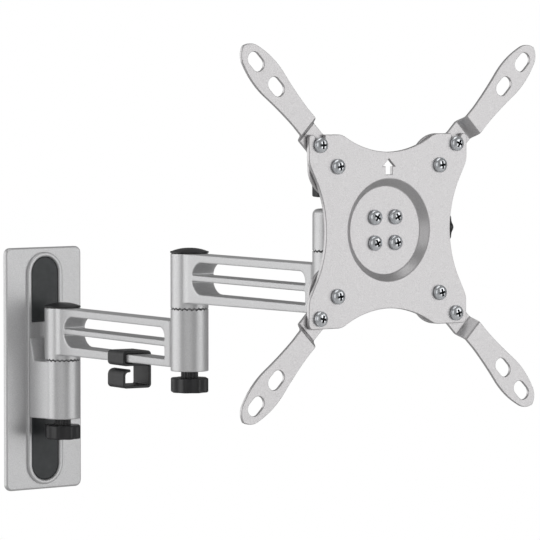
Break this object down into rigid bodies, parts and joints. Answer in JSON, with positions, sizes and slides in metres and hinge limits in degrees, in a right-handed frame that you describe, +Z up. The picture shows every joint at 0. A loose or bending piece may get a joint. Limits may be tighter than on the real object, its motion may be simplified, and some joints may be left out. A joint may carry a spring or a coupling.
{
  "type": "full motion tv wall mount",
  "caption": "Wall plate with a toothed-lock column, two folding arms, a swivelling and tilting head, a square screen plate and diagonal extension arms.",
  "frame": {"origin": "centre of the wall plate's back face", "axes": "+Z up, +Y into the wall, -Y out of the wall towards the viewer of the screen, +X to the right as seen from in front of the wall"},
  "size_m": [0.2159, 0.425, 0.2966],
  "materials": {
    "silver_paint": "silver-grey metallic powder coat, satin",
    "black_plastic": "satin black moulded plastic",
    "cover_plastic": "smooth dark grey moulded plastic",
    "zinc": "bright zinc-plated steel",
    "steel": "plain steel",
    "nylon": "natural nylon"
  },
  "bodies": {
    "base": {"wall_plate": "silver_paint", "wall_bracket": "silver_paint", "upper_cover": "cover_plastic", "lower_cover": "cover_plastic", "bracket_screw_upper": "zinc", "bracket_screw_lower": "zinc", "wall_tube": "steel", "wall_spring": "steel"},
    "wall_lock": {"wall_knob": "black_plastic", "wall_bolt": "zinc"},
    "wall_lift": {"wall_washer": "steel"},
    "arm_1": {"arm_1": "silver_paint", "wall_bush": "nylon", "wall_nut": "zinc", "wall_cap": "black_plastic", "elbow_tube": "steel", "elbow_spring": "steel"},
    "clip": {"cable_clip": "black_plastic"},
    "elbow_lock": {"elbow_knob": "black_plastic", "elbow_bolt": "zinc"},
    "elbow_lift": {"elbow_washer": "steel"},
    "arm_2": {"arm_2": "silver_paint", "elbow_bush": "nylon", "elbow_nut": "zinc", "elbow_cap": "black_plastic", "head_tube": "steel", "head_spring": "steel", "head_nut": "zinc", "head_cap": "black_plastic"},
    "head_lift": {"head_washer": "steel"},
    "head_lock": {"head_knob": "black_plastic", "head_bolt": "zinc"},
    "head": {"head_casting": "silver_paint", "head_bush": "nylon"},
    "tilt": {"tilt_bracket": "silver_paint", "tilt_bolt": "zinc", "tilt_washer_left": "nylon", "tilt_washer_right": "nylon", "vesa_plate": "silver_paint", "centre_screw_1": "zinc", "centre_screw_2": "zinc", "centre_screw_3": "zinc", "centre_screw_4": "zinc", "extension_arm_upper_right": "silver_paint", "extension_arm_upper_left": "silver_paint", "extension_arm_lower_left": "silver_paint", "extension_arm_lower_right": "silver_paint", "inner_screw_upper_right": "zinc", "outer_screw_upper_right": "zinc", "inner_screw_upper_left": "zinc", "outer_screw_upper_left": "zinc", "inner_screw_lower_left": "zinc", "outer_screw_lower_left": "zinc", "inner_screw_lower_right": "zinc", "outer_screw_lower_right": "zinc"},
    "tilt_clamp": {"tilt_flat_washer": "zinc"},
    "tilt_lock": {"tilt_knob": "black_plastic", "tilt_insert_nut": "zinc"}
  },
  "joints": [
    {"name": "wall_knob_turn", "type": "hinge", "parent": "base", "child": "wall_lock", "pos_m": [0, -0.025, 0.007], "axis": [0, 0, 1], "range_deg": [0, 202]},
    {"name": "wall_lift", "type": "slide", "parent": "base", "child": "wall_lift", "axis": [0, 0, 1], "range_m": [-0.0007, 0]},
    {"name": "wall_swivel", "type": "hinge", "parent": "wall_lift", "child": "arm_1", "pos_m": [0, -0.025, 0.007], "axis": [0, 0, 1], "range_deg": [-75, 90]},
    {"name": "clip_slide", "type": "slide", "parent": "arm_1", "child": "clip", "axis": [-0.1392, -0.9903, 0], "range_m": [-0.015, 0.015]},
    {"name": "elbow_knob_turn", "type": "hinge", "parent": "arm_1", "child": "elbow_lock", "pos_m": [-0.02366, -0.19335, 0.05], "axis": [0, 0, 1], "range_deg": [0, 202]},
    {"name": "elbow_lift", "type": "slide", "parent": "arm_1", "child": "elbow_lift", "axis": [0, 0, 1], "range_m": [-0.0007, 0]},
    {"name": "elbow_swivel", "type": "hinge", "parent": "elbow_lift", "child": "arm_2", "pos_m": [-0.02366, -0.19335, 0.05], "axis": [0, 0, 1], "range_deg": [-120, 120]},
    {"name": "head_lift", "type": "slide", "parent": "arm_2", "child": "head_lift", "axis": [0, 0, 1], "range_m": [-0.0007, 0]},
    {"name": "head_knob_turn", "type": "hinge", "parent": "head_lift", "child": "head_lock", "pos_m": [-0.04732, -0.36169, 0.093], "axis": [0, 0, 1], "range_deg": [-202, 0]},
    {"name": "head_swivel", "type": "hinge", "parent": "head_lift", "child": "head", "pos_m": [-0.04732, -0.36169, 0.093], "axis": [0, 0, 1], "range_deg": [-90, 90]},
    {"name": "tilt", "type": "hinge", "parent": "head", "child": "tilt", "pos_m": [-0.04897, -0.39315, 0.107], "axis": [0.9986, -0.0523, 0], "range_deg": [-15, 15]},
    {"name": "tilt_clamp", "type": "slide", "parent": "tilt", "child": "tilt_clamp", "axis": [0.9986, -0.0523, 0], "range_m": [0, 0.00063]},
    {"name": "tilt_knob_turn", "type": "hinge", "parent": "tilt_clamp", "child": "tilt_lock", "pos_m": [-0.04897, -0.39315, 0.107], "axis": [0.9986, -0.0523, 0], "range_deg": [0, 180]}
  ],
  "couplings": [
    {"joint": "wall_knob_turn", "follows": "wall_lift", "rad_per_m": -5026.5},
    {"joint": "elbow_knob_turn", "follows": "elbow_lift", "rad_per_m": -5026.5},
    {"joint": "head_knob_turn", "follows": "head_lift", "rad_per_m": 5026.5},
    {"joint": "tilt_clamp", "follows": "tilt_knob_turn", "m_per_rad": 0.00019894}
  ]
}
